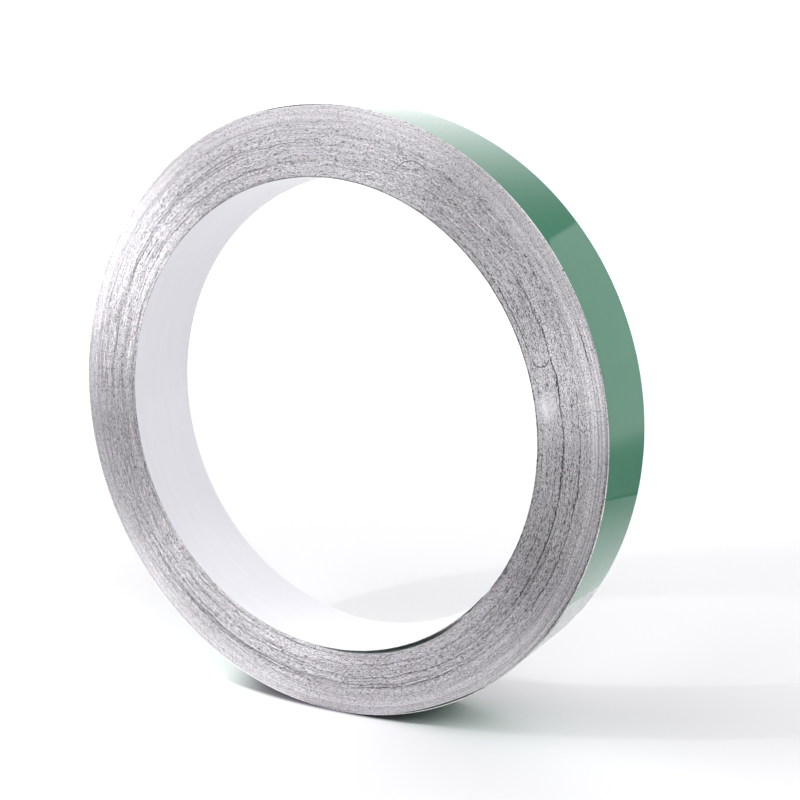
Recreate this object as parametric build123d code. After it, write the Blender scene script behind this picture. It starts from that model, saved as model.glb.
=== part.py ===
"""Coil of painted aluminium strip for bending channel letter returns.

One strip is wound on itself, without a core. The coil stands on its rim, its axis
along Y, with the origin at the centre of its bore. Angles are in degrees from +X
towards +Z, seen from the front end at -Y. The strip winds inwards in that sense:
its outer end is at tail_angle under a piece of clear tape, and its inner end, at
tip_angle, lies loose against the bore.
"""
from build123d import *
from math import ceil, cos, degrees, radians, sin
import os

os.makedirs("parts", exist_ok=True)

# The strip and how it is wound, in millimetres.
strip_width = 60.0
strip_thickness = 0.53
turn_air = 0.03
turn_count = 85
bore_radius = 162.5

# Seams between groups of turns, cut as V grooves where the groups slid past each other.
seam_count = 8
seam_crowding = 1.15
smooth_turns = 12
seam_mouth = 0.9
seam_depth = 1.8
group_slide = 0.35

# The outer end of the strip and its tape.
tail_angle = -38.0
tape_length = 50.0
tape_on_tail = 29.0
tape_width = 57.0
tape_thickness = 0.12
tape_clearance = 0.03
tape_bridge = 3.0

# Where the outermost turn has sprung off the turn below it.
lower_slack_angle = -65.0
lower_slack_span = 92.0
lower_slack_gap = 1.3
upper_slack_angle = 93.0
upper_slack_span = 56.0
upper_slack_gap = 1.1

# The inner end of the strip, with the crescent of air behind it.
tip_angle = -41.5
tip_contact = 7.0
tip_gap_span = 142.0
tip_gap = 3.0
tip_step_span = 70.0

turn_pitch = strip_thickness + turn_air
outer_radius = bore_radius + turn_count * turn_pitch


def polar(radius, angle):
    """Point of the XZ plane at this radius and angle."""
    return (radius * cos(radians(angle)), radius * sin(radians(angle)))


def arc_angle(length, radius):
    """Angle that an arc of this length spans."""
    return degrees(length / radius)


def arc(radius, start, end):
    """Arc about the axis from one angle to another."""
    return ThreePointArc(polar(radius, start), polar(radius, (start + end) / 2), polar(radius, end))


def prism(edges, width):
    """The closed outline that the edges make in the XZ plane, spread evenly about Y = 0."""
    face = make_face(Plane.XZ * Curve(edges))
    return extrude(face, width / 2, both=True)


def spiral_turn(radius, pitch, start):
    """One turn that loses its pitch in four quarter arcs, each about its own centre."""
    edges = []
    centre = Vector(0, 0)
    for quarter in range(4):
        angle = start + 90 * quarter
        size = radius - pitch * quarter / 4
        points = [centre + Vector(*polar(size, angle + turn)) for turn in (0, 45, 90)]
        edges.append(ThreePointArc(*points))
        centre += Vector(*polar(pitch / 4, angle + 90))
    return edges


def crescent(radius, middle, span, gap):
    """Lens under an arc of this radius, as deep as the gap; a negative gap lies outside the arc."""
    half = arc_angle(span, radius) / 2
    ends = [polar(radius, middle - half), polar(radius, middle + half)]
    round_side = ThreePointArc(ends[0], polar(radius, middle), ends[1])
    slack_side = ThreePointArc(ends[1], polar(radius - gap, middle), ends[0])
    return [round_side, slack_side]


def surface_radius(angle):
    """Outer radius of the outermost turn at this angle."""
    return outer_radius - turn_pitch * ((angle - tail_angle) % 360) / 360


def seam_radii():
    """Radii of the seams, at whole turns between the air behind the tip and the smooth outer turns."""
    first = ceil((strip_thickness + tip_gap + seam_mouth) / turn_pitch)
    spread = turn_count - smooth_turns - first
    shares = [(k / (seam_count - 1)) ** seam_crowding for k in range(seam_count)]
    return [bore_radius + (first + round(spread * share)) * turn_pitch for share in shares]


def end_line(side, rim):
    """Radius and Y of the points of one end, from the bore to the rim."""
    bounds = [bore_radius] + seam_radii() + [rim]
    half_mouth = seam_mouth / 2
    points = []
    for number, (inner, outer) in enumerate(zip(bounds, bounds[1:])):
        level = side * strip_width / 2 + group_slide * (-1) ** number
        first = inner if inner == bore_radius else inner + half_mouth
        last = outer if outer == rim else outer - half_mouth
        points += [(first, level), (last, level)]
        if outer != rim:
            points.append((outer, side * (strip_width / 2 - seam_depth)))
    return points


def turned_blank():
    """Ring with its bore and its grooved ends, a little larger than the coil."""
    rim = outer_radius + turn_pitch
    outline = end_line(-1, rim) + end_line(1, rim)[::-1]
    return revolve(make_face(Polyline(*outline, close=True)), Axis.Y)


def wound_outline():
    """Prism inside the outermost turn, with the step at the outer end of the strip."""
    turn = spiral_turn(outer_radius, turn_pitch, tail_angle)
    step = Line(turn[-1] @ 1, turn[0] @ 0)
    return prism(turn + [step], 2 * strip_width)


def slack(middle, span, gap):
    """Air under the outermost turn."""
    radius = surface_radius(middle) - strip_thickness
    return prism(crescent(radius, middle, span, gap), 2 * strip_width)


def tip_air():
    """Air between the innermost turn and the next one, behind the loose inner end."""
    radius = bore_radius + strip_thickness
    middle = tip_angle - arc_angle(tip_contact + tip_gap_span / 2, radius)
    return prism(crescent(radius, middle, tip_gap_span, -tip_gap), 2 * strip_width)


def tip_step():
    """Step of one strip at the inner end, which runs out along the next turn."""
    deep = bore_radius + strip_thickness
    end = tip_angle + arc_angle(tip_step_span, bore_radius)
    ramp = ThreePointArc(polar(deep, tip_angle), polar(deep - strip_thickness / 2, (tip_angle + end) / 2),
                         polar(bore_radius, end))
    inside = Line(polar(bore_radius, end), polar(bore_radius - strip_thickness, (tip_angle + end) / 2))
    back = Line(inside @ 1, polar(bore_radius - strip_thickness, tip_angle))
    riser = Line(back @ 1, ramp @ 0)
    return prism([ramp, inside, back, riser], 2 * strip_width)


def make_coil():
    """The wound strip as one turned solid."""
    coil = turned_blank() & wound_outline()
    coil -= slack(lower_slack_angle, lower_slack_span, lower_slack_gap)
    coil -= slack(upper_slack_angle, upper_slack_span, upper_slack_gap)
    coil -= tip_air()
    coil -= tip_step()
    return coil


def make_tail_tape():
    """Clear tape that bridges the outer end of the strip and holds it to the turn below."""
    start = tail_angle + arc_angle(tape_on_tail, outer_radius)
    end = start - arc_angle(tape_length, outer_radius)
    foot = tail_angle - arc_angle(tape_bridge, outer_radius)
    high = outer_radius + tape_clearance
    low = high - turn_pitch
    under = [arc(high, start, tail_angle), Line(polar(high, tail_angle), polar(low, foot)), arc(low, foot, end)]
    high += tape_thickness
    low += tape_thickness
    over = [arc(low, end, foot), Line(polar(low, foot), polar(high, tail_angle)), arc(high, tail_angle, start)]
    sides = [Line(under[-1] @ 1, over[0] @ 0), Line(over[-1] @ 1, under[0] @ 0)]
    return prism(under + over + sides, tape_width)


export_step(make_coil(), "parts/coil.step")
export_step(make_tail_tape(), "parts/tail_tape.step")
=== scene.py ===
# %% [markdown]
# # A coil of painted aluminium strip
# The real thing is a single strip, 60 mm wide and half a millimetre thick, rolled up without a core. Its
# outside is glossy green paint, its back is white, and its two edges are bare metal, so the ends of the coil
# show some eighty thin rings of cut aluminium. We make that strip as it is wound, turn by turn, in metres.

# %% Load the fixed frame
from math import cos, pi, radians, sin, tau

import bpy
import numpy as np
from mathutils import Matrix, Vector


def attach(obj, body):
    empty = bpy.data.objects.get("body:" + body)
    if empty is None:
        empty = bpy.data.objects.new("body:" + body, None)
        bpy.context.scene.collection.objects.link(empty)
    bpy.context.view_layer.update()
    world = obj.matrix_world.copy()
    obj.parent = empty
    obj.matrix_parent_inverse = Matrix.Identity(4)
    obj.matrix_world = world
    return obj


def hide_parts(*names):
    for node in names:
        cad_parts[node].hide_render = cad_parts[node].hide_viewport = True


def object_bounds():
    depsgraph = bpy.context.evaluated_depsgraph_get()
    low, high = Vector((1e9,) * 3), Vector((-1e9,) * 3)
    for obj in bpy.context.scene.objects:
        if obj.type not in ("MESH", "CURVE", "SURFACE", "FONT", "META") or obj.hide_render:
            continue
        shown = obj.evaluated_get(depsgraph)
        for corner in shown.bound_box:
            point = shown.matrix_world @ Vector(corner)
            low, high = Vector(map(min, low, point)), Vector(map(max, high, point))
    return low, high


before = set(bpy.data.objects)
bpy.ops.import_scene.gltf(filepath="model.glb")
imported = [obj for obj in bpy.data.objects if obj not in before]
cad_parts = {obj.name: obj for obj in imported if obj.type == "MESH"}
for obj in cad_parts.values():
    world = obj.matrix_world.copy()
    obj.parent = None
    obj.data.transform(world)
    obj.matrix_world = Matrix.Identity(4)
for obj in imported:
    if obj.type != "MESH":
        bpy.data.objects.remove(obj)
cad_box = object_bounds()

# %% The strip and how it is wound
mm = 0.001
strip_width = 60 * mm
strip_thickness = 0.53 * mm
turn_pitch = 0.56 * mm
rim_radius = 210.1 * mm
mean_radius = 186 * mm
tail_angle = radians(-38)
turns = 84 - 3.5 / 360  # the inner end lies 3.5 degrees short of 84 turns
rng = np.random.default_rng(60)
print("strip of", round(turns * tau * (rim_radius - turn_pitch * turns / 2), 1), "m")

# %% [markdown]
# ## The line that the strip follows
# Every piece here is placed by two numbers: how many turns we are from the outer end of the strip, and how
# far across the strip. The frame's coil is made of quarter arcs, each a little smaller than the one before
# and about a centre that moved by as much, so we write the same line as a formula that works on whole arrays.


# %% Where a turn lies
def turn_angle(t):
    """Angle in the XZ plane, from +X towards +Z: the outer end's angle, and a full circle for each turn."""
    return tail_angle + tau * t


def wound_radius(t):
    """Radius of the outer face: a quarter of a pitch less for each quarter turn, plus how far that arc's
    centre has moved towards this angle."""
    quarter = np.floor(4 * (t % 1) + 1e-9)
    radius = rim_radius - turn_pitch * (t - t % 1 + quarter / 4)
    for step in (1, 2, 3):
        towards = np.cos(turn_angle(t) - tail_angle - step * pi / 2)
        radius = radius + (quarter >= step) * turn_pitch / 4 * towards
    return radius


def circle_point(angle, radius, y):
    """X, Y and Z of a point at this angle and radius."""
    angle, radius, y = np.broadcast_arrays(angle, radius, y)
    return np.stack([radius * np.cos(angle), y, radius * np.sin(angle)], axis=-1)


print("radius at the end of the outermost turn", round(float(wound_radius(np.array(0.999))) / mm, 2), "mm")


# %% Ways around the circle
def wrapped(angle):
    """The same angle, between minus and plus half a circle."""
    return (angle + pi) % tau - pi


def lens_of_air(angle, middle, span, gap, radius):
    """Depth of a crescent: the gap at its middle, less the square of the way to its ends."""
    away = wrapped(angle - radians(middle))
    return gap * np.clip(1 - (away * radius * 2 / span) ** 2, 0, None)


print("a quarter of the way to the end of a 1 mm crescent it is still",
      round(lens_of_air(0.125, 0, 1, 1, 1), 2), "mm deep")

# %% [markdown]
# ## A wound stack is never quite even
# A coil this size slides and buckles a little as it is wound: groups of turns stand proud of their
# neighbours, and the rings wander by a few tenths of a millimetre. Random numbers alone would look like
# gravel, so each kind of unevenness is a smooth wave with its own length, and the generator has a fixed seed.


# %% Unevenness of the winding
def wander(t, per_turn):
    """Smooth random value from -1 to 1: random heights at even stations, eased from one to the next."""
    heights = rng.uniform(-1, 1, 86 * per_turn)  # enough for every t up to 85
    place = t * per_turn
    station = np.floor(place).astype(int)
    ease = (place - station) ** 2 * (3 - 2 * (place - station))
    return heights[station] * (1 - ease) + heights[station + 1] * ease


# Turns where one group ends and the next begins.
slid_turns = np.array([12, 23, 33, 43, 52, 62, 70, 77])


def sideways(t, wobble):
    """How far the strip has slid along Y: 0.05 mm to one side or the other, by its group, and 0.08 mm times
    the wobble. From one group to the next it flips over within a twelfth of a turn."""
    flips = np.clip((t[..., None] - slid_turns) * 12 + 0.5, 0, 1)
    group = 1 + 2 * np.sum(flips * (-1.0) ** np.arange(1, len(slid_turns) + 1), axis=-1)
    return (0.05 * group + 0.08 * wobble) * mm


print(len(slid_turns) + 1, "groups of turns")

# %% [markdown]
# ## Putting arrays into a mesh
# Blender takes the corners and faces of a mesh as flat arrays. One function does that for every piece, with
# an optional UV for each face corner, a material number for each face and named values for each point.


# %% One mesh from arrays
def make_piece(name, points, faces, uv=None, finish=None, values=None):
    """Object at the origin from points, four-sided faces, and what its materials read."""
    mesh = bpy.data.meshes.new(name)
    mesh.vertices.add(len(points))
    mesh.vertices.foreach_set("co", points.astype(np.float32).ravel())
    mesh.loops.add(faces.size)
    mesh.loops.foreach_set("vertex_index", faces.astype(np.int32).ravel())
    mesh.polygons.add(len(faces))
    mesh.polygons.foreach_set("loop_start", np.arange(0, faces.size, 4, dtype=np.int32))
    if finish is not None:
        mesh.polygons.foreach_set("material_index", finish.astype(np.int32))
    if uv is not None:
        layer = mesh.uv_layers.new(name="strip")
        layer.uv.foreach_set("vector", uv.astype(np.float32).ravel())
    for key, numbers in (values or {}).items():
        layer = mesh.attributes.new(key, "FLOAT", "POINT")
        layer.data.foreach_set("value", numbers.astype(np.float32).ravel())
    mesh.update(calc_edges=True)
    mesh.validate()
    piece = bpy.data.objects.new(name, mesh)
    bpy.context.scene.collection.objects.link(piece)
    print(name, "has", 2 * len(faces), "triangles")
    return piece


def grid_faces(rows, columns, closed=False):
    """Corner numbers of a grid's faces, row by row, with the last column joined to the first if closed."""
    across = columns if closed else columns - 1
    row, column = np.meshgrid(np.arange(rows - 1), np.arange(across), indexing="ij")
    ahead = (column + 1) % columns
    here, below = row * columns, (row + 1) * columns
    return np.stack([here + column, here + ahead, below + ahead, below + column], axis=-1).reshape(-1, 4)


def strip_uv(points, faces, cut):
    """UV of each face corner, in metres. U is the radius on a cut edge, and Y on the painted faces. V is the
    angle times the mean radius, counted on from the face's first corner, so that no face runs back round."""
    corner = points[faces]
    radius = np.hypot(corner[..., 0], corner[..., 2])
    angle = np.arctan2(corner[..., 2], corner[..., 0])
    angle = angle[:, :1] + wrapped(angle - angle[:, :1])
    return np.stack([np.where(cut[:, None], radius, corner[..., 1]), angle * mean_radius], -1)


# %% [markdown]
# ## The two wound ends
# Each end shows the cut edges of the turns. We make them as one long spiral ribbon: across one turn there are
# only four points, the rolled-over corner, two points of the cut edge and the bottom of the gap to the next
# turn, and the ribbon's next lap closes that gap. The outermost and innermost turns are separate, because
# they have sprung away from the stack, so the laps here make room for the air beside them.

# %% Laps of the stack
steps = 288  # rows of points in each lap
first_lap, last_lap = 1, 83
lap = first_lap + np.arange((last_lap - first_lap) * steps + 1) / steps
lap_angle = turn_angle(lap)
lap_slide = sideways(lap, wander(lap, 7) * 0.6 + wander(lap, 31) * 0.4)
print(last_lap - first_lap, "laps, slid by up to", round(float(np.abs(lap_slide).max()) / mm, 2), "mm")

# %% Tint of the laps
# A tint wanders along the strip and is shared with the next lap, so that a streak is two turns wide. Streaks
# are stronger on the right, in the outer third of the stack.
streak = wander(lap, 2)
lap_tint = (streak + np.roll(streak, -steps)) * 0.5 + wander(lap, 19) * 0.4
on_right = np.clip(1 - np.abs(wrapped(lap_angle)) / radians(60), 0, 1)
outer_third = np.clip((30 - lap) / 10, 0, 1)
lap_tint = lap_tint * (1 + 1.2 * on_right * outer_third)
print("tint from", round(float(lap_tint.min()), 2), "to", round(float(lap_tint.max()), 2))

# %% Gaps between the laps
# Beyond the smooth outer turns some laps lie loose, but hardly any on the left. Seams are the longer gaps
# between groups: for each part of one its turn, its middle and reach in degrees, and how strong it is.
loose = np.clip(wander(lap, 5) + 0.35 * wander(lap, 40) - 0.42, 0, None) * np.clip((lap - 8) / 24, 0, 1)
from_left = np.degrees(wrapped(lap_angle - radians(176)))
loose = loose * (1 - 0.9 * np.exp(-((from_left / 24) ** 2)))
seam_parts = [
    (2, -22, 34, 1.0), (11, 17, 5, 0.9), (33, -22, 40, 0.9), (36, -75, 40, 0.65), (36, -120, 36, 0.6),
    (32, 50, 40, 0.3), (46, -132, 26, 0.6), (49, -55, 55, 0.65), (48, 150, 22, 0.7), (53, -8, 50, 1.4),
    (56, 140, 16, 0.7), (60, -120, 40, 0.5), (65, -5, 16, 1.2), (67, -45, 60, 0.6), (69, 135, 24, 0.7),
    (71, -128, 36, 0.5), (77, 30, 24, 1.6), (83, 125, 60, 0.8)]


def seam_marks(angle, depth):
    """How strong the seam near each point is, and how many turns away from it the point lies, where that is
    under four."""
    strength, off = np.zeros_like(depth), np.full_like(depth, 4)
    for turn, middle, reach, most in seam_parts:
        away = np.degrees(np.abs(wrapped(angle - radians(middle))))
        here = (away < reach) & (np.abs(depth - turn) < 4)
        fade = np.clip(1.5 - 1.5 * away / reach, 0, 1) * np.clip(3.2 - np.abs(depth - turn), 0, 1)
        strength = np.where(here, most * fade, strength)
        off = np.where(here, depth - turn, off)
    return strength, off


lap_seam, lap_off = seam_marks(lap_angle, lap + 0.5)
lap_seam = lap_seam * (np.abs(lap_off) < 0.5) * np.clip(0.7 + 0.9 * wander(lap, 110), 0, 1)
opening = np.clip(loose + lap_seam, 0, 1)
print("open gaps along", round(float(np.mean(opening > 0.3)) * 100, 1), "% of the laps")

# %% Where the rings lie
# Sixteen waves, each with 7 to 45 crests around the coil, a drift of its phase for each turn, and a start.
wave_counts = rng.integers(7, 46, 16)
wave_drifts = rng.normal(0, 0.30, 16)
wave_starts = rng.uniform(0, tau, 16)
# Air under the outermost turn, and behind the loose inner end: its middle in degrees, its length and depth,
# and the radius at which it lies.
outer_slacks = [(-65, 92 * mm, 1.3 * mm, rim_radius), (93, 56 * mm, 0.5 * mm, rim_radius)]
tip_air = (-68.9, 142 * mm, 3.0 * mm, 163 * mm)


def ring_waves(angle, depth):
    """Radial wander of the rings: the sum of whole waves around the coil, each 0.1 mm high, whose phase
    drifts from turn to turn. It is strongest in the inner two thirds and nothing at the bore and the rim."""
    height = np.zeros(np.broadcast(angle, depth).shape)
    for count, drift, start in zip(wave_counts, wave_drifts, wave_starts):
        height += np.sin(count * angle + drift * depth + start)
    room = np.clip((depth - 8) / 20, 0, 1) * np.clip((83 - depth) / 8, 0, 1)
    return 0.10 * mm * height * room


def stack_radius(t, across):
    """Radius inside the stack: the wound line, less the share of a pitch across, moved in under the outer
    slack and out behind the inner end, and less and less so away from them."""
    depth, angle = t + across, turn_angle(t)
    under = sum(lens_of_air(angle, *slack) for slack in outer_slacks)
    behind = lens_of_air(angle, *tip_air)
    radius = wound_radius(t) - turn_pitch * across
    radius = radius - under * np.clip(1 - (depth - 1) / 16, 0, 1) ** 2
    return radius + behind * np.clip((depth - 40) / 43, 0, 1) ** 2 + ring_waves(angle, depth)


wander_mm = ring_waves(lap_angle, lap) / mm
print("rings wander by", round(float(wander_mm.std()), 2), "mm")

# %% Shape of one wound end
rows, wall_rows = len(lap), steps + 1
bare, painted, white_coated = 0, 1, 2


def end_faces():
    """Faces of one end and their materials. In each row three bands join the ribbon's four columns and a
    fourth closes the gap to the next lap. The first lap carries half of the rim's wall, the last one half of
    the bore's."""
    row = np.arange(rows - 1)
    bands = [np.stack([4 * row + j, 4 * row + j + 1, 4 * row + j + 5, 4 * row + j + 4], -1) for j in range(3)]
    row = row[:-steps]
    next_lap = 4 * (row + steps)
    gaps = np.stack([4 * row + 3, next_lap, next_lap + 4, 4 * row + 7], -1)
    row = np.arange(steps)
    rim_start, bore_start = 4 * rows, 4 * rows + wall_rows
    rim = np.stack([rim_start + row, 4 * row, 4 * row + 4, rim_start + row + 1], -1)
    last = 4 * (rows - 1 - steps + row) + 3
    bore = np.stack([last, bore_start + row, bore_start + row + 1, last + 4], -1)
    parts = bands + [gaps, rim, bore]
    finish = np.repeat([bare] * 4 + [painted, white_coated], [len(part) for part in parts])
    return np.concatenate(parts), finish


def wound_end(name, side):
    """Spiral ribbon of cut edges at one end, with half of the stack's rim and bore walls. A row's four points
    lie at shares of a pitch across the turn, and each drops a little from the full width. Where a gap is
    open, the cut edge is narrower and the last point lies deeper."""
    t, wide = lap[:, None], opening[:, None]
    same = 0 * wide
    across = np.concatenate([same + 0.02, same + 0.22, 0.80 - 0.42 * wide, 0.93 - 0.16 * wide], axis=1)
    drop = np.concatenate([same + 0.12, same + 0.06, same, 0.28 + 1.8 * wide], axis=1) * mm
    # Painted shade in the gaps: how dark each point's colour is made, most at the bottom of a gap.
    gap_shade = np.concatenate([same + 0.1, same, 0.6 * wide, same + 1], axis=1)
    y = side * (strip_width / 2 - drop) + lap_slide[:, None]
    rim, bore = t[:wall_rows], t[-wall_rows:]
    parts = [circle_point(turn_angle(t), stack_radius(t, across), y),
             circle_point(turn_angle(rim), stack_radius(rim, 0.02), 0),
             circle_point(turn_angle(bore), stack_radius(bore, 0.93), 0)]
    points = np.concatenate([part.reshape(-1, 3) for part in parts])
    faces, finish = end_faces()
    if side > 0:
        faces = faces[:, ::-1]
    on_walls = np.ones(2 * wall_rows)
    depth = np.concatenate([np.repeat(lap, 4) + across.ravel(), on_walls])
    seam, off = seam_marks(np.arctan2(points[:, 2], points[:, 0]), depth)
    values = {"depth": depth, "seam": seam, "off": off, "gap": np.concatenate([gap_shade.ravel(), on_walls]),
              "tint": np.concatenate([np.repeat(lap_tint, 4), 0 * on_walls])}
    return make_piece(name, points, faces, strip_uv(points, faces, finish == bare), finish, values)


front_end = wound_end("front_turns", -1)
back_end = wound_end("back_turns", 1)

# %% [markdown]
# ## The two loose turns
# The outermost turn carries the glossy paint that we see around the rim, and the innermost turn shows the
# white back of the strip around the bore. Both are the whole strip, so they are swept as a closed section:
# a painted face, a slit edge, a white face and the other slit edge, with the corners rolled over a little.
# The bent paint has flaked off along both edges, so bare metal goes on round the corner, by 0.8 mm in front
# and 0.3 mm at the back.


# %% Sweep of the whole strip
def rolled_over(across):
    """How far the painted face falls away at its edges, because slitting bends them down: the square of the
    way into its last 4 mm in front, its last 1.5 mm at the back and its last 0.4 mm on both sides."""
    front = np.clip(-across - 26 * mm, 0, None) / (4 * mm)
    back = np.clip(across - 28.5 * mm, 0, None) / (1.5 * mm)
    border = np.clip(np.abs(across) - 29.6 * mm, 0, None) / (0.4 * mm)
    return (0.05 * front**2 + 0.1 * back**2 + 0.16 * border**2) * mm


def strip_turn(name, start, end, count, slide, edge_tint_and_highlight):
    """A length of strip: its section, 60 mm by 0.53 mm, carried along the wound line from one turn to another
    and slid along Y. The edge tint sets the tone of its bare edge: a painted highlight on the outer turn,
    and a darker tone on the inner turn."""
    t = np.linspace(start, end, count)
    near_edge = np.array([28.6, 29.2, 29.7, 29.94, 30.0])
    across = np.concatenate([-near_edge[::-1], np.linspace(-27.5, 27.5, 13), near_edge]) * mm
    rolled = rolled_over(across)
    outer = wound_radius(t)[:, None] - rolled
    inner = wound_radius(t)[:, None] - strip_thickness + 0.3 * rolled[::-1]
    y = np.broadcast_to(across + slide, outer.shape)
    radius = np.concatenate([outer, inner[:, ::-1]], axis=1)
    y = np.concatenate([y, y[:, ::-1]], axis=1)
    points = circle_point(turn_angle(t)[:, None], radius, y).reshape(-1, 3)
    # Half of the section's columns lie on the painted face, and the next half on the white one. Three bands
    # at each end of the painted half stay bare, the last of them on the slit edge.
    half, columns, flaked = len(across), 2 * len(across), 3
    place = np.tile(np.arange(columns), count - 1)
    finish = np.full(len(place), bare)
    finish[(place >= flaked) & (place < half - flaked)] = painted
    finish[(place >= half) & (place < columns - 1)] = white_coated
    near = np.arange(half - 1)
    start_cap = np.stack([near, columns - 1 - near, columns - 2 - near, near + 1], -1)
    end_cap = start_cap[:, ::-1] + (count - 1) * columns
    faces = np.concatenate([grid_faces(count, columns, closed=True), start_cap, end_cap])
    finish = np.concatenate([finish, np.full(2 * len(near), bare)])
    values = {"depth": np.repeat(t, columns) + 0.5, "gap": np.zeros(len(points)),
              "tint": np.full(len(points), edge_tint_and_highlight)}
    return make_piece(name, points, faces, strip_uv(points, faces, finish == bare), finish, values)


# Name, first and last turn, rows of points, slide, and edge tint: a painted highlight on the outer turn.
outer_turn = strip_turn("outer_turn", 0, 1, 721, 0.35 * mm, 2.0)
inner_turn = strip_turn("inner_turn", 83, turns, 720, -0.35 * mm, -2.5)

# %% [markdown]
# ## The clear tape
# A piece of clear tape holds the outer end down. It is thin film, torn off on a toothed cutter, so its upper
# end is a ragged line, and it bridges the step at the end of the strip with a small ramp.


# %% Film over the outer end
def tape_film():
    """Grid along the rim and across the strip: the wound line plus the film, eased over the step by a ramp of
    3 mm, with fine wrinkles, and with its two ends cut along slanting toothed lines."""
    rows, columns = 120, 96
    v, u = np.meshgrid(np.linspace(0, 1, rows), np.linspace(-1, 1, columns), indexing="ij")
    y = 28.4 * mm * u
    teeth = np.radians(0.22 * np.abs(((u * 17) % 1) - 0.5) + 0.05 * np.sin(u * 41 + 1))
    upper = radians(-29.9) - radians(1.3) * (u + 1) / 2 - teeth
    lower = radians(-43.1) - radians(0.5) * (u + 1) / 2 + 0.6 * teeth[:, ::-1]
    angle = upper + (lower - upper) * v
    ramp = radians(0.82)
    step = np.clip((angle - tail_angle + ramp) / ramp, 0, 1)
    below = wound_radius(1 + (angle - tail_angle) / tau)
    wrinkles = np.sin(u * 23 + v * 3) * np.sin(v * 9 + u * 2) + 0.6 * np.sin(u * 51 - v * 7)
    radius = below + (rim_radius - below) * step + 0.08 * mm + 0.018 * mm * wrinkles
    faces = grid_faces(rows, columns)
    points = circle_point(angle, radius, y).reshape(-1, 3)
    uv = np.stack([y, (angle - tail_angle) * rim_radius], -1).reshape(-1, 2)[faces]
    return make_piece("tail_tape_film", points, faces, uv)


tape = tape_film()
wall = tape.modifiers.new("film thickness", "SOLIDIFY")
wall.thickness = 0.05 * mm
wall.offset = 1

# %% [markdown]
# ## Finishes
# Colours are given as sRGB hex values and turned linear by one function. Each material adds its nodes with
# one helper, which takes sockets to link or plain values to set.


# %% Colour and node helpers
def hex_colour(code):
    """Linear colour of an sRGB hex value: each channel over 255, then the sRGB curve undone."""
    channels = np.array([int(code[i:i + 2], 16) for i in (1, 3, 5)]) / 255
    linear = np.where(channels <= 0.04045, channels / 12.92, ((channels + 0.055) / 1.055) ** 2.4)
    return (*[float(c) for c in linear], 1.0)


def add_node(tree, kind, inputs=None, **settings):
    """A node with its settings, its plain input values and its links."""
    node = tree.nodes.new(kind)
    for key, value in settings.items():
        setattr(node, key, value)
    for key, value in (inputs or {}).items():
        if isinstance(value, bpy.types.NodeSocket):
            tree.links.new(value, node.inputs[key])
        else:
            node.inputs[key].default_value = value
    return node


def new_finish(name):
    """Empty material: its node tree, and the output that its shader goes to."""
    material = bpy.data.materials.new(name)
    material.use_nodes = True
    material.node_tree.nodes.clear()
    return material, material.node_tree, add_node(material.node_tree, "ShaderNodeOutputMaterial")


print("middle grey is", round(hex_colour("#808080")[0], 3), "in linear light")

# %% [markdown]
# ### Slit edge of aluminium
# A slitting knife shears the strip, which leaves a bright band and a torn, sparkling one along each edge. On
# the coil that reads as rings full of fine grain, dark where a turn is torn and light where it is sheared.
# The pattern is laid out around the axis, by the direction from it and the number of the turn, so it follows
# the rings and closes on itself. Real grain is finer than a tenth of a millimetre. It is drawn as coarse as
# it needs to be to show, about 0.65 mm along a turn and 0.4 mm across, and longer dark dashes of about 3 mm
# lie over it.

# %% Slit edge: grain, dashes and streaks
slit_edge, tree, out = new_finish("slit_aluminium_edge")
place = add_node(tree, "ShaderNodeTexCoord")
xyz = add_node(tree, "ShaderNodeSeparateXYZ", {0: place.outputs["Object"]})
flat = add_node(tree, "ShaderNodeCombineXYZ", {"X": xyz.outputs["X"], "Z": xyz.outputs["Z"]})
round_way = add_node(tree, "ShaderNodeVectorMath", {0: flat.outputs[0]}, operation="NORMALIZE")
lap_number = add_node(tree, "ShaderNodeAttribute", attribute_name="depth")
along_axis = add_node(tree, "ShaderNodeCombineXYZ", {"Y": lap_number.outputs["Fac"]})
grain_per_radian, dashes_per_radian = 190, 62
grain_way = add_node(tree, "ShaderNodeVectorMath", {
    0: round_way.outputs[0], "Scale": grain_per_radian}, operation="SCALE")
grain_place = add_node(tree, "ShaderNodeVectorMath", {
    0: grain_way.outputs[0], 1: along_axis.outputs[0]}, operation="ADD")
grain = add_node(tree, "ShaderNodeTexNoise", {
    "Vector": grain_place.outputs[0], "Scale": 1.5, "Detail": 1.0, "Roughness": 0.6})
dash_way = add_node(tree, "ShaderNodeVectorMath", {
    0: round_way.outputs[0], "Scale": dashes_per_radian}, operation="SCALE")
dash_place = add_node(tree, "ShaderNodeVectorMath", {
    0: dash_way.outputs[0], 1: along_axis.outputs[0]}, operation="ADD")
dashes = add_node(tree, "ShaderNodeTexNoise", {"Vector": dash_place.outputs[0], "Scale": 1.0, "Detail": 1.0})
# The outer turns are cut more cleanly: the grain is lighter there, and few dashes show.
outwards = add_node(tree, "ShaderNodeMapRange", {
    "Value": lap_number.outputs["Fac"], "From Min": 8.0, "From Max": 34.0, "To Min": -0.14, "To Max": 0.0})
torn = add_node(tree, "ShaderNodeMath", {0: dashes.outputs["Fac"], 1: outwards.outputs[0]}, operation="ADD")
speck = add_node(tree, "ShaderNodeMath", {
    0: outwards.outputs[0], 1: -0.22, 2: grain.outputs["Fac"]}, operation="MULTIPLY_ADD")
grain_tone = add_node(tree, "ShaderNodeMapRange", {
    "Value": speck.outputs[0], "From Min": 0.40, "From Max": 0.455, "To Min": 0.08, "To Max": 1.0})
dash_tone = add_node(tree, "ShaderNodeMapRange", {
    "Value": torn.outputs[0], "From Min": 0.58, "From Max": 0.65, "To Min": 1.0, "To Max": 0.3})
tint = add_node(tree, "ShaderNodeAttribute", attribute_name="tint")
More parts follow.
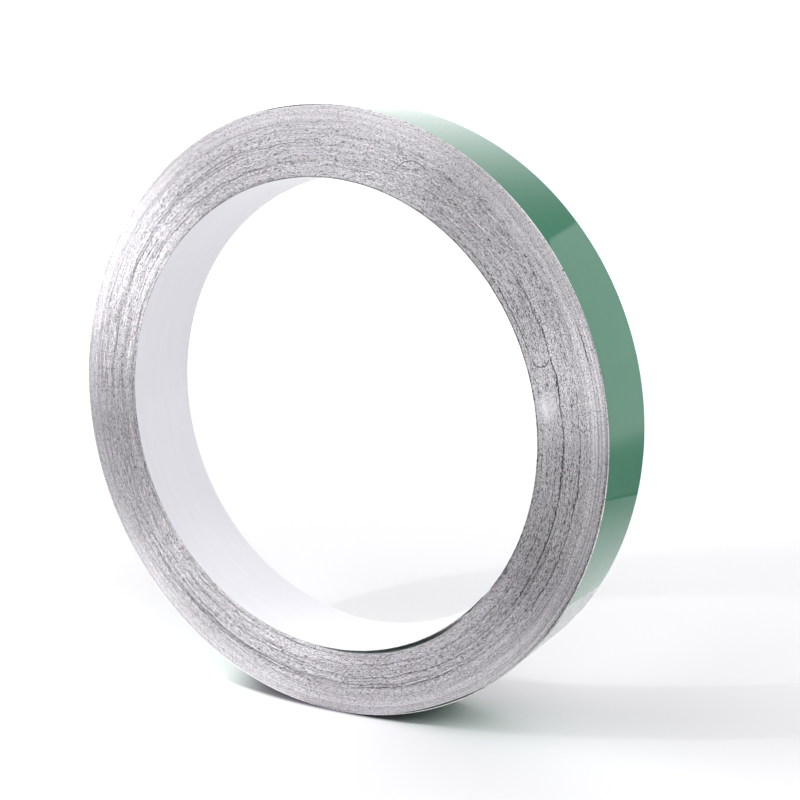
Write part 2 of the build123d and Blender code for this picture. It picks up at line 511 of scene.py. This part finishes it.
ring_tone = add_node(tree, "ShaderNodeMapRange", {
    "Value": tint.outputs["Fac"], "From Min": -0.6, "From Max": 0.6, "To Min": 0.8, "To Max": 1.0},
    clamp=False)
toned = add_node(tree, "ShaderNodeMath", {
    0: grain_tone.outputs[0], 1: ring_tone.outputs[0]}, operation="MULTIPLY")
marked = add_node(tree, "ShaderNodeMath", {
    0: toned.outputs[0], 1: dash_tone.outputs[0]}, operation="MULTIPLY")
print("grain every", round(mean_radius / mm / grain_per_radian / 1.5, 2), "mm and dashes every",
      round(mean_radius / mm / dashes_per_radian, 1), "mm along a turn")

# %% [markdown]
# Where two groups of turns part, the gap shows as a dark, jagged line. Gaps in the mesh alone are too smooth
# for that, so a line of painted shade is drawn beside each seam: noise shifts it by up to a turn and a half,
# and the dashes break it up. The bottoms of the gaps are darkened with painted shade too.

# %% Slit edge: seams and dirt
seam_strength = add_node(tree, "ShaderNodeAttribute", attribute_name="seam")
turns_off = add_node(tree, "ShaderNodeAttribute", attribute_name="off")
jags_per_radian = 150
jag_way = add_node(tree, "ShaderNodeVectorMath", {
    0: round_way.outputs[0], "Scale": jags_per_radian}, operation="SCALE")
jags = add_node(tree, "ShaderNodeTexNoise", {"Vector": jag_way.outputs[0], "Scale": 1.0, "Detail": 2.0})
shift = add_node(tree, "ShaderNodeMapRange", {
    "Value": jags.outputs["Fac"], "From Min": 0.3, "From Max": 0.7, "To Min": -1.4, "To Max": 1.4})
aside = add_node(tree, "ShaderNodeMath", {
    0: turns_off.outputs["Fac"], 1: shift.outputs[0]}, operation="SUBTRACT")
from_line = add_node(tree, "ShaderNodeMath", {0: aside.outputs[0]}, operation="ABSOLUTE")
line = add_node(tree, "ShaderNodeMapRange", {
    "Value": from_line.outputs[0], "From Min": 0.3, "From Max": 0.8, "To Min": 1.0, "To Max": 0.0})
unbroken = add_node(tree, "ShaderNodeMapRange", {
    "Value": dashes.outputs["Fac"], "From Min": 0.38, "From Max": 0.46})
broken_line = add_node(tree, "ShaderNodeMath", {
    0: line.outputs[0], 1: unbroken.outputs[0]}, operation="MULTIPLY")
# Painted shade: the seam's line darkens the metal's colour.
seam_shade = add_node(tree, "ShaderNodeMath", {
    0: broken_line.outputs[0], 1: seam_strength.outputs["Fac"]}, operation="MULTIPLY")
seam_shade_tone = add_node(tree, "ShaderNodeMapRange", {
    "Value": seam_shade.outputs[0], "To Min": 1.0, "To Max": 0.05})
# Painted shade in the gaps: their colour goes dark towards the bottom.
gap_shade_weight = add_node(tree, "ShaderNodeAttribute", attribute_name="gap")
gap_shade_tone = add_node(tree, "ShaderNodeMapRange", {
    "Value": gap_shade_weight.outputs["Fac"], "To Min": 1.0, "To Max": 0.06})
dark = add_node(tree, "ShaderNodeMath", {
    0: gap_shade_tone.outputs[0], 1: seam_shade_tone.outputs[0]}, operation="MULTIPLY")
print("a jag every", round(mean_radius / mm / jags_per_radian, 1), "mm")

# %% [markdown]
# Handling leaves its marks on soft metal: two scratches in the shape of an arc. One place is a painted
# highlight, where the metal's colour is made brighter. Each is a distance from a point in the plane of the
# ends.

# %% Slit edge: scratches and a painted highlight
# Scratches: X, Z and radius of the arc, and the heights where it starts and is full, in millimetres.
scratches = [(166, 51.5, 5.5, 52, 50), (78.4, 158.9, 13, 165.5, 167)]
for x, z, radius, start, full in scratches:
    away = add_node(tree, "ShaderNodeVectorMath", {
        0: flat.outputs[0], 1: (x * mm, 0, z * mm)}, operation="DISTANCE")
    off_arc = add_node(tree, "ShaderNodeMath", {
        0: away.outputs["Value"], 1: radius * mm}, operation="SUBTRACT")
    beside = add_node(tree, "ShaderNodeMath", {0: off_arc.outputs[0]}, operation="ABSOLUTE")
    drawn = add_node(tree, "ShaderNodeMapRange", {
        "Value": beside.outputs[0], "From Min": 0.15 * mm, "From Max": 0.45 * mm,
        "To Min": 1.0, "To Max": 0.0})
    part = add_node(tree, "ShaderNodeMapRange", {
        "Value": xyz.outputs["Z"], "From Min": start * mm, "From Max": full * mm})
    scratch = add_node(tree, "ShaderNodeMath", {
        0: drawn.outputs[0], 1: part.outputs[0]}, operation="MULTIPLY")
    scratch_tone = add_node(tree, "ShaderNodeMapRange", {
        "Value": scratch.outputs[0], "To Min": 1.0, "To Max": 0.2})
    dark = add_node(tree, "ShaderNodeMath", {
        0: dark.outputs[0], 1: scratch_tone.outputs[0]}, operation="MULTIPLY")
# Painted highlight: within 10 mm of one point the metal's colour is made brighter.
from_highlight_spot = add_node(tree, "ShaderNodeVectorMath", {
    0: flat.outputs[0], 1: (169 * mm, 0.0, 21 * mm)}, operation="DISTANCE")
painted_highlight = add_node(tree, "ShaderNodeMapRange", {
    "Value": from_highlight_spot.outputs["Value"], "From Min": 10 * mm, "From Max": 2 * mm,
    "To Min": 0.0, "To Max": 0.6})
with_painted_highlight = add_node(tree, "ShaderNodeMix", {"Factor": painted_highlight.outputs[0], 2: marked.outputs[0], 3: 1.25})
bright = add_node(tree, "ShaderNodeMath", {0: with_painted_highlight.outputs[0], 1: dark.outputs[0]}, operation="MULTIPLY")
print(len(scratches), "scratches")

# %% [markdown]
# The knife's marks run along the turn, so a highlight spreads across the rings and stays narrow along them:
# that is anisotropic gloss, with its long axis along the radius. Sheared aluminium is a fairly rough metal,
# at 0.38, and the grain stands a tenth of a millimetre high.

# %% Slit edge: metal
metal = add_node(tree, "ShaderNodeMix", {"Factor": bright.outputs[0]}, data_type="RGBA")
metal.inputs[6].default_value = hex_colour("#1B1B1D")
metal.inputs[7].default_value = hex_colour("#FCF9FD")
relief = add_node(tree, "ShaderNodeBump", {
    "Height": grain.outputs["Fac"], "Strength": 1.0, "Distance": 0.1 * mm})
ring_way = add_node(tree, "ShaderNodeTangent", direction_type="UV_MAP", uv_map="strip")
cut = add_node(tree, "ShaderNodeBsdfPrincipled", {
    "Base Color": metal.outputs[2], "Metallic": 1.0, "Roughness": 0.38, "Anisotropic": 0.8,
    "Normal": relief.outputs[0], "Tangent": ring_way.outputs[0]})
tree.links.new(cut.outputs[0], out.inputs[0])
print(slit_edge.name, "has", len(tree.nodes), "nodes")

# %% [markdown]
# ### Green coil paint and white back coat
# Coil coating is baked on before the strip is slit: an even green under a clear gloss coat, so the paint
# reflects the studio like polished plastic. The back has a thin satin white wash coat. Both keep the faint
# streaks of the roller coater, tens of millimetres long and a few wide.

# %% Green paint material
green_paint, tree, out = new_finish("green_coil_coating")
place = add_node(tree, "ShaderNodeUVMap", uv_map="strip")
# 260 streaks a metre across the strip and 14 along it: 4 mm wide and 70 mm long.
streaks = add_node(tree, "ShaderNodeMapping", {"Vector": place.outputs[0], "Scale": (260.0, 14.0, 1.0)})
roller = add_node(tree, "ShaderNodeTexNoise", {"Vector": streaks.outputs[0], "Scale": 1.0, "Detail": 2.0})
green = add_node(tree, "ShaderNodeMix", {"Factor": roller.outputs["Fac"]}, data_type="RGBA")
green.inputs[6].default_value = hex_colour("#3C7E61")
green.inputs[7].default_value = hex_colour("#44866A")
ripple = add_node(tree, "ShaderNodeBump", {
    "Height": roller.outputs["Fac"], "Strength": 0.05, "Distance": 0.05 * mm})
paint = add_node(tree, "ShaderNodeBsdfPrincipled", {
    "Base Color": green.outputs[2], "Roughness": 0.45, "Specular IOR Level": 0.1, "Coat Weight": 1.0,
    "Coat Roughness": 0.03, "Coat IOR": 1.5, "Coat Normal": ripple.outputs[0]})
tree.links.new(paint.outputs[0], out.inputs[0])
print(green_paint.name, "has", len(tree.nodes), "nodes")

# %% White back coat material
white_back, tree, out = new_finish("white_wash_coat")
place = add_node(tree, "ShaderNodeUVMap", uv_map="strip")
# 180 streaks a metre across the strip and 9 along it: 6 mm wide and 110 mm long.
streaks = add_node(tree, "ShaderNodeMapping", {"Vector": place.outputs[0], "Scale": (180.0, 9.0, 1.0)})
roller = add_node(tree, "ShaderNodeTexNoise", {"Vector": streaks.outputs[0], "Scale": 1.0, "Detail": 3.0})
white = add_node(tree, "ShaderNodeMix", {"Factor": roller.outputs["Fac"]}, data_type="RGBA")
white.inputs[6].default_value = hex_colour("#D6D6DA")
white.inputs[7].default_value = hex_colour("#DEDEE2")
wash = add_node(tree, "ShaderNodeBsdfPrincipled", {
    "Base Color": white.outputs[2], "Roughness": 0.42, "Coat Weight": 0.3, "Coat Roughness": 0.25})
tree.links.new(wash.outputs[0], out.inputs[0])
print(white_back.name, "has", len(tree.nodes), "nodes")

# %% [markdown]
# ### Clear packing tape
# Polypropylene film is glossy, with an IOR of 1.49, and it shows where it has not wetted the paint: small
# milky bubbles, drawn out along the strip. Those spots are whiter and let less through than the rest.

# %% Tape material
clear_film, tree, out = new_finish("clear_polypropylene_film")
place = add_node(tree, "ShaderNodeUVMap", uv_map="strip")
# 420 bubbles a metre across the strip and 160 along it: 2.4 mm wide and 6 mm long.
stretched = add_node(tree, "ShaderNodeMapping", {"Vector": place.outputs[0], "Scale": (420.0, 160.0, 1.0)})
bubbles = add_node(tree, "ShaderNodeTexNoise", {
    "Vector": stretched.outputs[0], "Scale": 1.0, "Detail": 4.0, "Roughness": 0.7})
milky = add_node(tree, "ShaderNodeMapRange", {
    "Value": bubbles.outputs["Fac"], "From Min": 0.42, "From Max": 0.66, "To Min": 0.42, "To Max": 0.88})
wrinkle = add_node(tree, "ShaderNodeBump", {
    "Height": bubbles.outputs["Fac"], "Strength": 0.6, "Distance": 0.3 * mm})
film = add_node(tree, "ShaderNodeBsdfPrincipled", {
    "Base Color": hex_colour("#EEF4F1"), "Roughness": 0.12, "IOR": 1.49, "Alpha": milky.outputs[0],
    "Normal": wrinkle.outputs[0]})
tree.links.new(film.outputs[0], out.inputs[0])
print(clear_film.name, "has", len(tree.nodes), "nodes")

# %% Dress the pieces
for piece in (front_end, back_end, outer_turn, inner_turn):
    for finish in (slit_edge, green_paint, white_back):
        piece.data.materials.append(finish)
    piece.data.set_sharp_from_angle(angle=radians(40))
    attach(piece, "root")
    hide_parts("coil")
tape.data.materials.append(clear_film)
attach(tape, "root")
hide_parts("tail_tape")
print("four pieces of strip and one of tape are dressed")

# %% [markdown]
# ## Studio
# Bare metal and glossy paint are mirrors, so most of what we see on them is the room. We build it as in a
# product studio: a white backdrop behind the coil with a dark ceiling over it, which makes the change of
# tone on the painted rim, and round soft panels in front of it, which the cut edges reflect. The World is
# drawn by direction for that, and it is plain white where the camera looks straight at it.

# %% Backdrop and ceiling in the World
world = bpy.data.worlds.new("studio")
bpy.context.scene.world = world
world.use_nodes = True
tree = world.node_tree
tree.nodes.clear()
look = add_node(tree, "ShaderNodeTexCoord")
way = add_node(tree, "ShaderNodeSeparateXYZ", {0: look.outputs["Generated"]})
# Way round from the back, +Y, towards +X.
side_on = add_node(tree, "ShaderNodeMath", {0: way.outputs["X"], 1: way.outputs["Y"]}, operation="ARCTAN2")
above = add_node(tree, "ShaderNodeMapRange", {
    "Value": way.outputs["Z"], "From Min": sin(radians(21.6)), "From Max": sin(radians(22.0))},
    interpolation_type="SMOOTHSTEP")
to_right = add_node(tree, "ShaderNodeMapRange", {
    "Value": side_on.outputs[0], "From Min": radians(-8), "From Max": radians(12)},
    interpolation_type="SMOOTHSTEP")
ceiling = add_node(tree, "ShaderNodeMath", {
    0: above.outputs[0], 1: to_right.outputs[0]}, operation="MULTIPLY")
shade = add_node(tree, "ShaderNodeMapRange", {"Value": ceiling.outputs[0], "To Min": 1.0, "To Max": 0.05})
to_left = add_node(tree, "ShaderNodeMapRange", {
    "Value": side_on.outputs[0], "From Min": radians(-24), "From Max": radians(2),
    "To Min": 1.45, "To Max": 0.68}, interpolation_type="SMOOTHSTEP")
backdrop = add_node(tree, "ShaderNodeMath", {
    0: shade.outputs[0], 1: to_left.outputs[0]}, operation="MULTIPLY")
off_middle = add_node(tree, "ShaderNodeMath", {0: side_on.outputs[0]}, operation="ABSOLUTE")
in_reach = add_node(tree, "ShaderNodeMapRange", {
    "Value": off_middle.outputs[0], "From Min": radians(60), "From Max": radians(40)},
    interpolation_type="SMOOTHSTEP")
lit = add_node(tree, "ShaderNodeMath", {0: in_reach.outputs[0], 1: backdrop.outputs[0]}, operation="MULTIPLY")
# The rest of the room is nearly dark.
room = add_node(tree, "ShaderNodeMath", {0: lit.outputs[0], 1: 0.03}, operation="ADD")
print("backdrop up to 60 degrees each way from the back")


# %% Soft panels in the World
def direction(azimuth, elevation):
    """Unit vector from an azimuth, in degrees from the front, -Y, towards +X, and an elevation."""
    azimuth, elevation = radians(azimuth), radians(elevation)
    return Vector((sin(azimuth) * cos(elevation), -cos(azimuth) * cos(elevation), sin(elevation)))


# Each panel: azimuth, elevation and radius in degrees, and brightness.
panels = [(-100, 5, 26, 1.8), (-78, 12, 26, 0.8), (-90, 42, 20, 0.5), (-66, 42, 20, 2.6), (-66, 0, 20, 2.9),
          (-54, 22, 20, 1.1), (-40, 58, 24, 1.7), (-18, 44, 20, 2.4), (32, 44, 22, 2.6), (40, 20, 20, 1.2),
          (46, 0, 24, 3.0), (54, 42, 20, 2.4), (90, 40, 20, 1.4), (150, 50, 30, 1.4)]
for azimuth, elevation, reach, brightness in panels:
    near = add_node(tree, "ShaderNodeVectorMath", {
        0: look.outputs["Generated"], 1: direction(azimuth, elevation)}, operation="DOT_PRODUCT")
    panel = add_node(tree, "ShaderNodeMapRange", {
        "Value": near.outputs["Value"], "From Min": cos(radians(reach)),
        "From Max": cos(radians(0.35 * reach)), "To Max": brightness}, interpolation_type="SMOOTHSTEP")
    room = add_node(tree, "ShaderNodeMath", {0: room.outputs[0], 1: panel.outputs[0]}, operation="ADD")
ray = add_node(tree, "ShaderNodeLightPath")
seen = add_node(tree, "ShaderNodeMath", {
    0: room.outputs[0], 1: ray.outputs["Is Camera Ray"]}, operation="MAXIMUM")
glow = add_node(tree, "ShaderNodeBackground", {"Color": (0.99, 0.985, 1.0, 1.0), "Strength": seen.outputs[0]})
add_node(tree, "ShaderNodeOutputWorld", {0: glow.outputs[0]})
print(len(panels), "panels")

# %% [markdown]
# ### Floor
# The floor is one sheet of white paper out to the horizon. Far away it is a backdrop with its own light, so a
# little emission comes in with the distance. The light that bounces about under the coil leaves the paper
# brighter and greener than it is in a studio. So a contact shadow is painted into the paper: an ellipse
# under the coil, 210 mm long and 64 mm wide, has its colour darker towards the line that the coil stands on.

# %% Floor material
paper, tree, out = new_finish("white_paper")
place = add_node(tree, "ShaderNodeTexCoord")
far_off = add_node(tree, "ShaderNodeVectorMath", {0: place.outputs["Object"]}, operation="LENGTH")
own_light = add_node(tree, "ShaderNodeMapRange", {
    "Value": far_off.outputs["Value"], "From Min": 0.5, "From Max": 2.0, "To Min": 0.0, "To Max": 0.33},
    interpolation_type="SMOOTHSTEP")
half_length, half_width, to_the_left = 105 * mm, 32 * mm, 11.97 * mm
ellipse = add_node(tree, "ShaderNodeMapping", {
    "Vector": place.outputs["Object"], "Location": (to_the_left / half_length, 0, 0),
    "Scale": (1 / half_length, 1 / half_width, 0)})
from_middle = add_node(tree, "ShaderNodeVectorMath", {0: ellipse.outputs[0]}, operation="LENGTH")
border = add_node(tree, "ShaderNodeMapRange", {
    "Value": from_middle.outputs["Value"], "From Min": 0.94, "From Max": 1.06})
along = add_node(tree, "ShaderNodeSeparateXYZ", {0: ellipse.outputs[0]})
beside = add_node(tree, "ShaderNodeMath", {0: along.outputs["X"]}, operation="ABSOLUTE")
fading = add_node(tree, "ShaderNodeMapRange", {
    "Value": beside.outputs[0], "From Min": 0.43, "From Max": 1.0}, interpolation_type="SMOOTHSTEP")
in_the_open = add_node(tree, "ShaderNodeMath", {
    0: border.outputs[0], 1: fading.outputs[0]}, operation="MAXIMUM")
# Painted contact shadow: inside the ellipse, and most along its middle, the paper's colour goes to a dark
# grey.
paper_and_painted_shade = add_node(tree, "ShaderNodeMix", {"Factor": in_the_open.outputs[0]}, data_type="RGBA")
paper_and_painted_shade.inputs[6].default_value = hex_colour("#756E77")
paper_and_painted_shade.inputs[7].default_value = hex_colour("#E8E8E9")
sheet = add_node(tree, "ShaderNodeBsdfPrincipled", {
    "Base Color": paper_and_painted_shade.outputs[2], "Roughness": 0.7, "Specular IOR Level": 0.2,
    "Emission Color": (1.0, 1.0, 1.0, 1.0), "Emission Strength": own_light.outputs[0]})
tree.links.new(sheet.outputs[0], out.inputs[0])
print(paper.name, "has", len(tree.nodes), "nodes")

# %% Floor
floor_z = cad_box[0][2]


def level(height, *corners):
    """Corners of a level sheet this far above the floor."""
    return [(x, y, floor_z + height) for x, y in corners]


floor_corners = level(0, (-60, -60), (60, -60), (60, 60), (-60, 60))
floor = make_piece("floor", np.array(floor_corners), np.array([[0, 1, 2, 3]]))
floor.data.materials.append(paper)

# %% [markdown]
# ### Cards that only reflections see
# Cards stand in for the tones that the painted rim and the cut edges pick up from the table around the coil.
# On the floor lie dark, white and soft grey ones near the coil, whose tones blend into the paper, and a far
# and a grey one beyond it, with a thin dark edge between them and the paper. A bright card stands at the
# left, for the highlight on the cut edges.


# %% Cards around the coil
def card(name, corners, shade, spots=()):
    """Four-sided card that glossy rays alone see. It glows with its shade. It covers what is behind it fully
    within the near distance of a spot and not at all beyond the far one, or everywhere without spots."""
    board = make_piece(name, np.array(corners), np.array([[0, 1, 2, 3]]))
    finish, tree, out = new_finish(name)
    place = add_node(tree, "ShaderNodeTexCoord")
    surface = add_node(tree, "ShaderNodeEmission", {"Strength": shade})
    cover = None
    for x, y, z, near, far in spots:
        away = add_node(tree, "ShaderNodeVectorMath", {
            0: place.outputs["Object"], 1: (x, y, z)}, operation="DISTANCE")
        spot = add_node(tree, "ShaderNodeMapRange", {
            "Value": away.outputs["Value"], "From Min": far, "From Max": near},
            interpolation_type="SMOOTHSTEP")
        cover = spot if cover is None else add_node(
            tree, "ShaderNodeMath", {0: cover.outputs[0], 1: spot.outputs[0]}, operation="MAXIMUM")
    if cover is not None:
        clear = add_node(tree, "ShaderNodeBsdfTransparent")
        surface = add_node(tree, "ShaderNodeMixShader", {
            "Fac": cover.outputs[0], 1: clear.outputs[0], 2: surface.outputs[0]})
    tree.links.new(surface.outputs[0], out.inputs[0])
    board.data.materials.append(finish)
    board.visible_camera = board.visible_diffuse = board.visible_shadow = board.visible_transmission = False


# Each spot: X, Y and Z, and its near and far distance. The cards lie a little above each other.
card("dark_card", level(0.5 * mm, (-3, -4), (3, -4), (3, -0.1), (-3, -0.1)), 0.3,
     [(0.05, -0.75, floor_z, 0.45, 0.62), (0.2, -0.5, floor_z, 0.3, 0.42), (-1, -0.5, floor_z, 0.2, 0.5)])
card("white_card", level(0.8 * mm, (-0.7, -0.5), (0.8, -0.5), (0.8, 0.1), (-0.7, 0.1)), 2.15,
     [(-0.24, -0.12, floor_z, 0.12, 0.27), (0.45, -0.15, floor_z, 0.06, 0.24)])
card("soft_card", level(0.5 * mm, (0, 0.1), (0.9, 0.1), (0.9, 1), (0, 1)), 0.3,
     [(0.35, 0.42, floor_z, 0, 0.3)])
card("far_card", level(0.8 * mm, (-0.1, 0.7), (0.8, 0.05), (240, 60), (0, 300)), 0.65)
card("grey_card", level(1.1 * mm, (-0.1, 0.7), (0.8, 0.05), (3, 2), (1, 3)), 0.12,
     [(0, 0, floor_z, 0.78, 1.2)])
card("edge_card", level(1.4 * mm, (-0.1, 0.7), (0.8, 0.05), (0.807, 0.06), (-0.093, 0.71)), 0)
card("left_card", [(-2.2, -1.4, floor_z), (-2.2, 1.4, floor_z), (-2.2, 1.4, 1.6), (-2.2, -1.4, 1.6)], 12.0,
     [(-2.2, 0, 0.33, 0.3, 0.9)])

# %% [markdown]
# ### Lamps
# One small key lamp, high at the left, casts the long shadows on the floor. A weak spot lamp near the floor
# lights the paper under the left of the coil, which the green rim would tint otherwise. Neither shows in a
# reflection, where a lamp this small would be a hard dot.


# %% Key and fill lamp
def hang(light, place, aim):
    """Lamp at its place, turned towards its aim, that no glossy ray sees."""
    lamp = bpy.data.objects.new(light.name, light)
    lamp.location = place
    lamp.rotation_euler = (Vector(aim) - Vector(place)).to_track_quat("-Z", "Y").to_euler()
    lamp.visible_glossy = False
    bpy.context.scene.collection.objects.link(lamp)
    print(light.name, "lamp at", [round(c, 2) for c in lamp.location], "of", light.energy, "W")


key_light = bpy.data.lights.new("key", "AREA")
key_light.size = 0.04
key_light.energy = 4
hang(key_light, (-0.739, -0.880, 0.964), (0, 0, 0))
fill_light = bpy.data.lights.new("fill", "SPOT")
fill_light.spot_size = radians(24)
fill_light.spot_blend = 1
fill_light.shadow_soft_size = 0.05
fill_light.energy = 6
hang(fill_light, (-0.5, -0.3, floor_z + 0.32), (-0.09, -0.03, floor_z))

# %% [markdown]
# ## Camera
# The camera was fitted to the four edge curves of the coil: it looks from 31 degrees to the right of the
# coil's axis and 11 degrees above the floor, it is tilted by 2 degrees, and it stands 0.9 m away.

# %% Camera at the photograph's angle
camera = bpy.data.objects.new("camera", bpy.data.cameras.new("camera"))
bpy.context.scene.collection.objects.link(camera)
bpy.context.scene.camera = camera
camera.data.lens = 60.8
camera.data.sensor_width = 36
azimuth, elevation, roll, distance = 31.16, 10.95, radians(-2), 0.916
target = Vector((0.0470, 0.0, 0.0119))
back_way = direction(azimuth, elevation)
right = (-back_way).cross(Vector((0, 0, 1))).normalized()
up = right.cross(-back_way)
right, up = right * cos(roll) + up * sin(roll), up * cos(roll) - right * sin(roll)
turned = Matrix((right, up, back_way)).transposed().to_4x4()
camera.matrix_world = Matrix.Translation(target + distance * back_way) @ turned
print("camera at", [round(c, 3) for c in camera.matrix_world.translation])

# %% Look of the picture
bpy.context.scene.view_settings.view_transform = "Standard"
